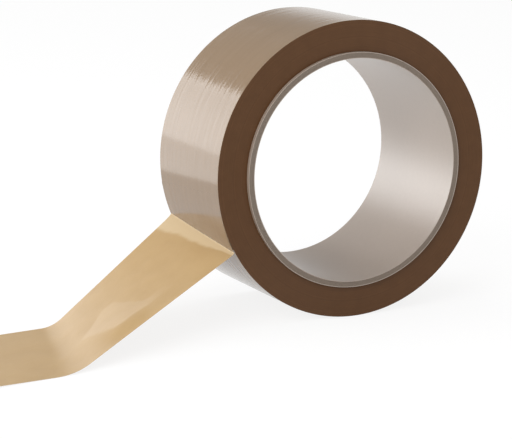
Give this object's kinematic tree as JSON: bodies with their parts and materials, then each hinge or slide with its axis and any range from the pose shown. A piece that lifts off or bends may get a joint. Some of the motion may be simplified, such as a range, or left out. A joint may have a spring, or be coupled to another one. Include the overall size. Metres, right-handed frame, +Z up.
{
  "type": "roll of packing tape",
  "caption": "Roll of brown packing tape on a paper core, standing on its rim, with its free end peeled off, folded back and laid flat in front of it.",
  "frame": {"origin": "centre of the core's bore, halfway along the roll's axis", "axes": "+Y along the roll's axis, +Z up, the tail leaves the roll towards -X and runs off a little towards -Y"},
  "size_m": [0.209, 0.0801, 0.1016],
  "materials": {
    "liner_paper": "smooth grey-brown liner paper with a satin shine",
    "core_board": "grey-brown recycled board",
    "wound_tape": "brown film wound tight, glossy on the outside and dull on the edges",
    "tape_film": "thin tan film, semi-gloss"
  },
  "bodies": {
    "roll": {"core_inner_liner": "liner_paper", "core_ply_1": "core_board", "core_ply_2": "core_board", "core_ply_3": "core_board", "core_ply_4": "core_board", "core_ply_5": "core_board", "core_outer_liner": "liner_paper", "wound_tape": "wound_tape"},
    "lifted_turn": {"lifted_turn": "tape_film"},
    "tail_span": {"tail_span": "tape_film"},
    "tail_end": {"tail_end": "tape_film"}
  },
  "joints": [
    {"name": "unwind", "type": "hinge", "parent": "roll", "child": "lifted_turn", "pos_m": [0, 0, 0], "axis": [0, 1, 0], "continuous": true},
    {"name": "peel", "type": "hinge", "parent": "lifted_turn", "child": "tail_span", "pos_m": [-0.04616, 0, -0.02271], "axis": [0, 1, 0], "range_deg": [-75, 75]},
    {"name": "tail_bend", "type": "hinge", "parent": "tail_span", "child": "tail_end", "pos_m": [-0.10506, -0.0229, -0.05079], "axis": [0, 1, 0], "range_deg": [-60, 60]}
  ]
}
